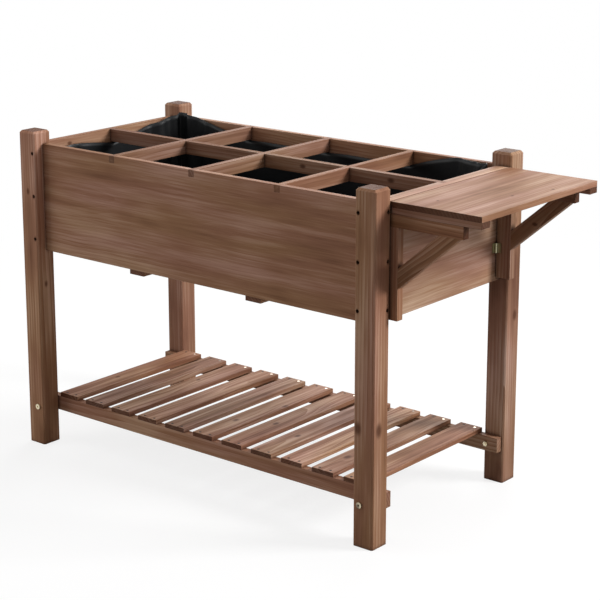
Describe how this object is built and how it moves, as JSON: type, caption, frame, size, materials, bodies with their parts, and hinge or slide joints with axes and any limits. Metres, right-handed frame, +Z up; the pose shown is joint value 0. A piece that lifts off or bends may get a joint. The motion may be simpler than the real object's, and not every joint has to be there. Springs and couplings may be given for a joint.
{
  "type": "elevated planter with shelf",
  "caption": "Raised wooden planter box on four legs with a divided, lined bed, a slatted lower shelf and a folding side table on swing-out brackets.",
  "frame": {"origin": "on the floor, under the middle of the whole piece with the side table up", "axes": "+X along the planter towards the side table, -Y to the front, +Z up"},
  "size_m": [1.232, 0.537, 0.75],
  "materials": {
    "leg_wood": "brown stain, satin",
    "panel_wood": "brown stain, satin",
    "divider_wood": "brown stain, satin",
    "floor_wood": "brown stain, satin",
    "shelf_wood": "brown stain, satin",
    "table_wood": "brown stain, satin",
    "bracket_wood": "brown stain, satin",
    "liner_cloth": "black non-woven",
    "zinc_steel": "zinc plated",
    "brass": "brass plated"
  },
  "bodies": {
    "frame": {"back_panel": "panel_wood", "bracket_back_hinge_fixed_leaf": "brass", "bracket_back_hinge_pin": "brass", "bracket_front_hinge_fixed_leaf": "brass", "bracket_front_hinge_pin": "brass", "cross_divider_1": "divider_wood", "cross_divider_2": "divider_wood", "cross_divider_3": "divider_wood", "floor_batten_1": "floor_wood", "floor_batten_2": "floor_wood", "floor_board_1": "floor_wood", "floor_board_2": "floor_wood", "floor_board_3": "floor_wood", "floor_board_4": "floor_wood", "front_panel": "panel_wood", "hinge_screws_frame": "brass", "left_end_panel": "panel_wood", "leg_back_left": "leg_wood", "leg_back_right": "leg_wood", "leg_front_left": "leg_wood", "leg_front_right": "leg_wood", "liner": "liner_cloth", "long_divider": "divider_wood", "panel_screws": "zinc_steel", "right_end_panel": "panel_wood", "shelf_bolts": "zinc_steel", "shelf_nuts": "zinc_steel", "shelf_rail_back": "shelf_wood", "shelf_rail_front": "shelf_wood", "shelf_slat_01": "shelf_wood", "shelf_slat_02": "shelf_wood", "shelf_slat_03": "shelf_wood", "shelf_slat_04": "shelf_wood", "shelf_slat_05": "shelf_wood", "shelf_slat_06": "shelf_wood", "shelf_slat_07": "shelf_wood", "shelf_slat_08": "shelf_wood", "shelf_slat_09": "shelf_wood", "shelf_slat_10": "shelf_wood", "shelf_slat_11": "shelf_wood", "slat_nails": "zinc_steel", "table_hinge_fixed_leaves": "brass", "table_hinge_pins": "brass", "table_rail": "table_wood"},
    "bracket_front": {"bracket_front_post": "bracket_wood", "bracket_front_arm": "bracket_wood", "bracket_front_brace": "bracket_wood", "bracket_front_hinge_moving_leaf": "brass", "hinge_screws_bracket_front": "brass"},
    "bracket_back": {"bracket_back_post": "bracket_wood", "bracket_back_arm": "bracket_wood", "bracket_back_brace": "bracket_wood", "bracket_back_hinge_moving_leaf": "brass", "hinge_screws_bracket_back": "brass"},
    "table": {"table_top": "table_wood", "table_cleat_front": "table_wood", "table_cleat_back": "table_wood", "table_hinge_moving_leaves": "brass", "hinge_screws_table": "brass"}
  },
  "joints": [
    {"name": "bracket_front_swing", "type": "hinge", "parent": "frame", "child": "bracket_front", "pos_m": [0.3872, -0.1918, 0.544], "axis": [0, 0, 1], "range_deg": [0, 90]},
    {"name": "bracket_back_swing", "type": "hinge", "parent": "frame", "child": "bracket_back", "pos_m": [0.3872, 0.1918, 0.544], "axis": [0, 0, -1], "range_deg": [0, 90]},
    {"name": "table_lift", "type": "hinge", "parent": "frame", "child": "table", "pos_m": [0.4025, 0, 0.7054], "axis": [0, -1, 0], "range_deg": [0, 8]}
  ]
}
